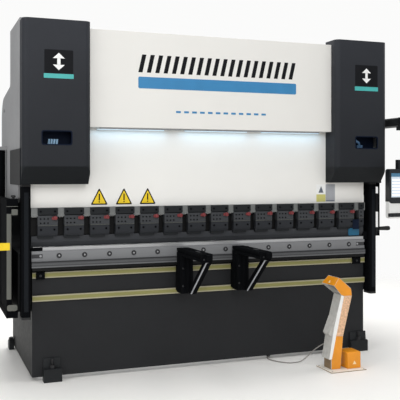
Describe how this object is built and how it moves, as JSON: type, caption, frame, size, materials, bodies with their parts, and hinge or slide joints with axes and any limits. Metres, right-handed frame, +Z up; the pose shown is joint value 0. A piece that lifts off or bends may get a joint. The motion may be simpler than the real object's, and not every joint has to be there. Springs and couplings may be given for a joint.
{
  "type": "press brake",
  "caption": "Hydraulic CNC press brake with ram, clamped punch, die on bed, back gauge, front support arms, side guards, swinging control panel and pedal console.",
  "frame": {"origin": "on the floor, at the middle of the footprint of everything but the pedal's cord", "axes": "+X along the bending line to the operator's right, +Y from the operator to the back, +Z up"},
  "size_m": [3.563, 1.88, 2.75],
  "materials": {
    "frame_paint": "fine satin powder coat",
    "bed_paint": "fine textured matt powder coat",
    "cover_paint": "fine textured satin powder coat",
    "white_paint": "smooth satin paint",
    "lamp_lens": "frosted diffuser",
    "hydraulic_paint": "satin paint",
    "motor_paint": "satin cast housing",
    "foot_black": "satin",
    "holder_steel": "ground along its length",
    "die_steel": "ground",
    "rail_olive": "satin, pale edges",
    "cabinet_paint": "fine texture powder coat",
    "curtain_black": "satin anodised",
    "console_paint": "satin sheet metal with orange and salmon zones",
    "plate_white": "satin",
    "hood_orange": "satin",
    "cord_grey": "smooth matt sheath",
    "gauge_dark": "satin",
    "rod_chrome": "polished",
    "tool_steel": "blackened, ground",
    "clamp_black": "black oxide",
    "lever_red": "moulded",
    "gauge_aluminium": "milled",
    "arm_black": "satin powder coat",
    "guard_black": "satin powder coat",
    "swing_arm_black": "satin",
    "control_housing": "satin housing with black bezel",
    "estop_red": "moulded",
    "pedal_black": "ribbed"
  },
  "bodies": {
    "machine": {"left_side_frame": "frame_paint", "right_side_frame": "frame_paint", "rear_tie_beam": "frame_paint", "front_bed": "bed_paint", "left_cylinder_cover": "cover_paint", "right_cylinder_cover": "cover_paint", "front_panel": "white_paint", "work_light": "lamp_lens", "left_cylinder": "hydraulic_paint", "right_cylinder": "hydraulic_paint", "hydraulic_tank": "hydraulic_paint", "pump_motor": "motor_paint", "foot_front_left": "foot_black", "foot_front_right": "foot_black", "foot_rear_left": "foot_black", "foot_rear_right": "foot_black", "die_holder": "holder_steel", "lower_die": "die_steel", "upper_support_rail": "rail_olive", "lower_support_rail": "rail_olive", "electrical_cabinet": "cabinet_paint", "left_light_curtain": "curtain_black", "right_light_curtain": "curtain_black", "pedal_column": "console_paint", "pedal_base_plate": "plate_white", "pedal_hood": "hood_orange", "pedal_cord": "cord_grey", "gauge_guide_frame": "gauge_dark"},
    "ram": {"ram": "white_paint", "left_piston_rod": "rod_chrome", "right_piston_rod": "rod_chrome", "upper_tool": "tool_steel", "clamp_row": "clamp_black"},
    "gauge_carriage": {"gauge_carriage": "gauge_aluminium"},
    "gauge_beam": {"gauge_beam": "gauge_aluminium"},
    "gauge_finger_left": {"gauge_finger_left": "gauge_aluminium"},
    "gauge_finger_right": {"gauge_finger_right": "gauge_aluminium"},
    "left_support_arm": {"left_support_arm": "arm_black"},
    "right_support_arm": {"right_support_arm": "arm_black"},
    "left_side_guard": {"left_side_guard": "guard_black"},
    "right_side_guard": {"right_side_guard": "guard_black"},
    "control_arm": {"control_arm": "swing_arm_black"},
    "control_panel": {"control_panel": "control_housing"},
    "control_estop": {"control_estop": "estop_red"},
    "foot_pedal": {"foot_pedal": "pedal_black"},
    "clamp_lever_01": {"clamp_lever_01": "lever_red"},
    "clamp_lever_02": {"clamp_lever_02": "lever_red"},
    "clamp_lever_03": {"clamp_lever_03": "lever_red"},
    "clamp_lever_04": {"clamp_lever_04": "lever_red"},
    "clamp_lever_05": {"clamp_lever_05": "lever_red"},
    "clamp_lever_06": {"clamp_lever_06": "lever_red"},
    "clamp_lever_07": {"clamp_lever_07": "lever_red"},
    "clamp_lever_08": {"clamp_lever_08": "lever_red"},
    "clamp_lever_09": {"clamp_lever_09": "lever_red"},
    "clamp_lever_10": {"clamp_lever_10": "lever_red"},
    "clamp_lever_11": {"clamp_lever_11": "lever_red"},
    "clamp_lever_12": {"clamp_lever_12": "lever_red"},
    "clamp_lever_13": {"clamp_lever_13": "lever_red"},
    "clamp_lever_14": {"clamp_lever_14": "lever_red"}
  },
  "joints": [
    {"name": "ram_stroke", "type": "slide", "parent": "machine", "child": "ram", "axis": [0, 0, 1], "range_m": [0, 0.17]},
    {"name": "gauge_depth", "type": "slide", "parent": "machine", "child": "gauge_carriage", "axis": [0, 1, 0], "range_m": [-0.1, 0.3]},
    {"name": "gauge_height", "type": "slide", "parent": "gauge_carriage", "child": "gauge_beam", "axis": [0, 0, 1], "range_m": [0, 0.12]},
    {"name": "finger_left_slide", "type": "slide", "parent": "gauge_beam", "child": "gauge_finger_left", "axis": [1, 0, 0], "range_m": [-0.44, 0.44]},
    {"name": "finger_right_slide", "type": "slide", "parent": "gauge_beam", "child": "gauge_finger_right", "axis": [1, 0, 0], "range_m": [-0.44, 0.44]},
    {"name": "left_arm_slide", "type": "slide", "parent": "machine", "child": "left_support_arm", "axis": [1, 0, 0], "range_m": [-1.02, 0.18]},
    {"name": "right_arm_slide", "type": "slide", "parent": "machine", "child": "right_support_arm", "axis": [1, 0, 0], "range_m": [-0.18, 1.06]},
    {"name": "left_guard_hinge", "type": "hinge", "parent": "machine", "child": "left_side_guard", "pos_m": [-1.7335, 0.57, 1.13], "axis": [0, 0, -1], "range_deg": [0, 95]},
    {"name": "right_guard_hinge", "type": "hinge", "parent": "machine", "child": "right_side_guard", "pos_m": [1.4955, 0.33, 1.2575], "axis": [0, 0, 1], "range_deg": [0, 95]},
    {"name": "control_arm_swing", "type": "hinge", "parent": "machine", "child": "control_arm", "pos_m": [1.5865, -0.08, 2.03], "axis": [0, 0, 1], "range_deg": [0, 90]},
    {"name": "control_panel_swivel", "type": "hinge", "parent": "control_arm", "child": "control_panel", "pos_m": [1.5865, -0.58, 1.65], "axis": [0, 0, 1], "range_deg": [-12, 60]},
    {"name": "estop_press", "type": "slide", "parent": "control_panel", "child": "control_estop", "axis": [0, 1, 0], "range_m": [0, 0.004], "stiffness_N_per_m": 900, "springref_m": -0.004},
    {"name": "pedal_press", "type": "hinge", "parent": "machine", "child": "foot_pedal", "pos_m": [0.9085, -0.795, 0.044], "axis": [-1, 0, 0], "range_deg": [0, 8], "stiffness_Nm_per_rad": 15, "springref_deg": -11.46},
    {"name": "clamp_lever_01_turn", "type": "hinge", "parent": "ram", "child": "clamp_lever_01", "pos_m": [-1.4155, -0.3553, 1.246], "axis": [0, -1, 0], "range_deg": [0, 90]},
    {"name": "clamp_lever_02_turn", "type": "hinge", "parent": "ram", "child": "clamp_lever_02", "pos_m": [-1.2155, -0.3553, 1.246], "axis": [0, -1, 0], "range_deg": [0, 90]},
    {"name": "clamp_lever_03_turn", "type": "hinge", "parent": "ram", "child": "clamp_lever_03", "pos_m": [-1.0155, -0.3553, 1.246], "axis": [0, -1, 0], "range_deg": [0, 90]},
    {"name": "clamp_lever_04_turn", "type": "hinge", "parent": "ram", "child": "clamp_lever_04", "pos_m": [-0.8155, -0.3553, 1.246], "axis": [0, -1, 0], "range_deg": [0, 90]},
    {"name": "clamp_lever_05_turn", "type": "hinge", "parent": "ram", "child": "clamp_lever_05", "pos_m": [-0.6155, -0.3553, 1.246], "axis": [0, -1, 0], "range_deg": [0, 90]},
    {"name": "clamp_lever_06_turn", "type": "hinge", "parent": "ram", "child": "clamp_lever_06", "pos_m": [-0.4155, -0.3553, 1.246], "axis": [0, -1, 0], "range_deg": [0, 90]},
    {"name": "clamp_lever_07_turn", "type": "hinge", "parent": "ram", "child": "clamp_lever_07", "pos_m": [-0.2155, -0.3553, 1.246], "axis": [0, -1, 0], "range_deg": [0, 90]},
    {"name": "clamp_lever_08_turn", "type": "hinge", "parent": "ram", "child": "clamp_lever_08", "pos_m": [-0.0155, -0.3553, 1.246], "axis": [0, -1, 0], "range_deg": [0, 90]},
    {"name": "clamp_lever_09_turn", "type": "hinge", "parent": "ram", "child": "clamp_lever_09", "pos_m": [0.1845, -0.3553, 1.246], "axis": [0, -1, 0], "range_deg": [0, 90]},
    {"name": "clamp_lever_10_turn", "type": "hinge", "parent": "ram", "child": "clamp_lever_10", "pos_m": [0.3845, -0.3553, 1.246], "axis": [0, -1, 0], "range_deg": [0, 90]},
    {"name": "clamp_lever_11_turn", "type": "hinge", "parent": "ram", "child": "clamp_lever_11", "pos_m": [0.5845, -0.3553, 1.246], "axis": [0, -1, 0], "range_deg": [0, 90]},
    {"name": "clamp_lever_12_turn", "type": "hinge", "parent": "ram", "child": "clamp_lever_12", "pos_m": [0.7845, -0.3553, 1.246], "axis": [0, -1, 0], "range_deg": [0, 90]},
    {"name": "clamp_lever_13_turn", "type": "hinge", "parent": "ram", "child": "clamp_lever_13", "pos_m": [0.9845, -0.3553, 1.246], "axis": [0, -1, 0], "range_deg": [0, 90]},
    {"name": "clamp_lever_14_turn", "type": "hinge", "parent": "ram", "child": "clamp_lever_14", "pos_m": [1.1845, -0.3553, 1.246], "axis": [0, -1, 0], "range_deg": [0, 90]}
  ]
}
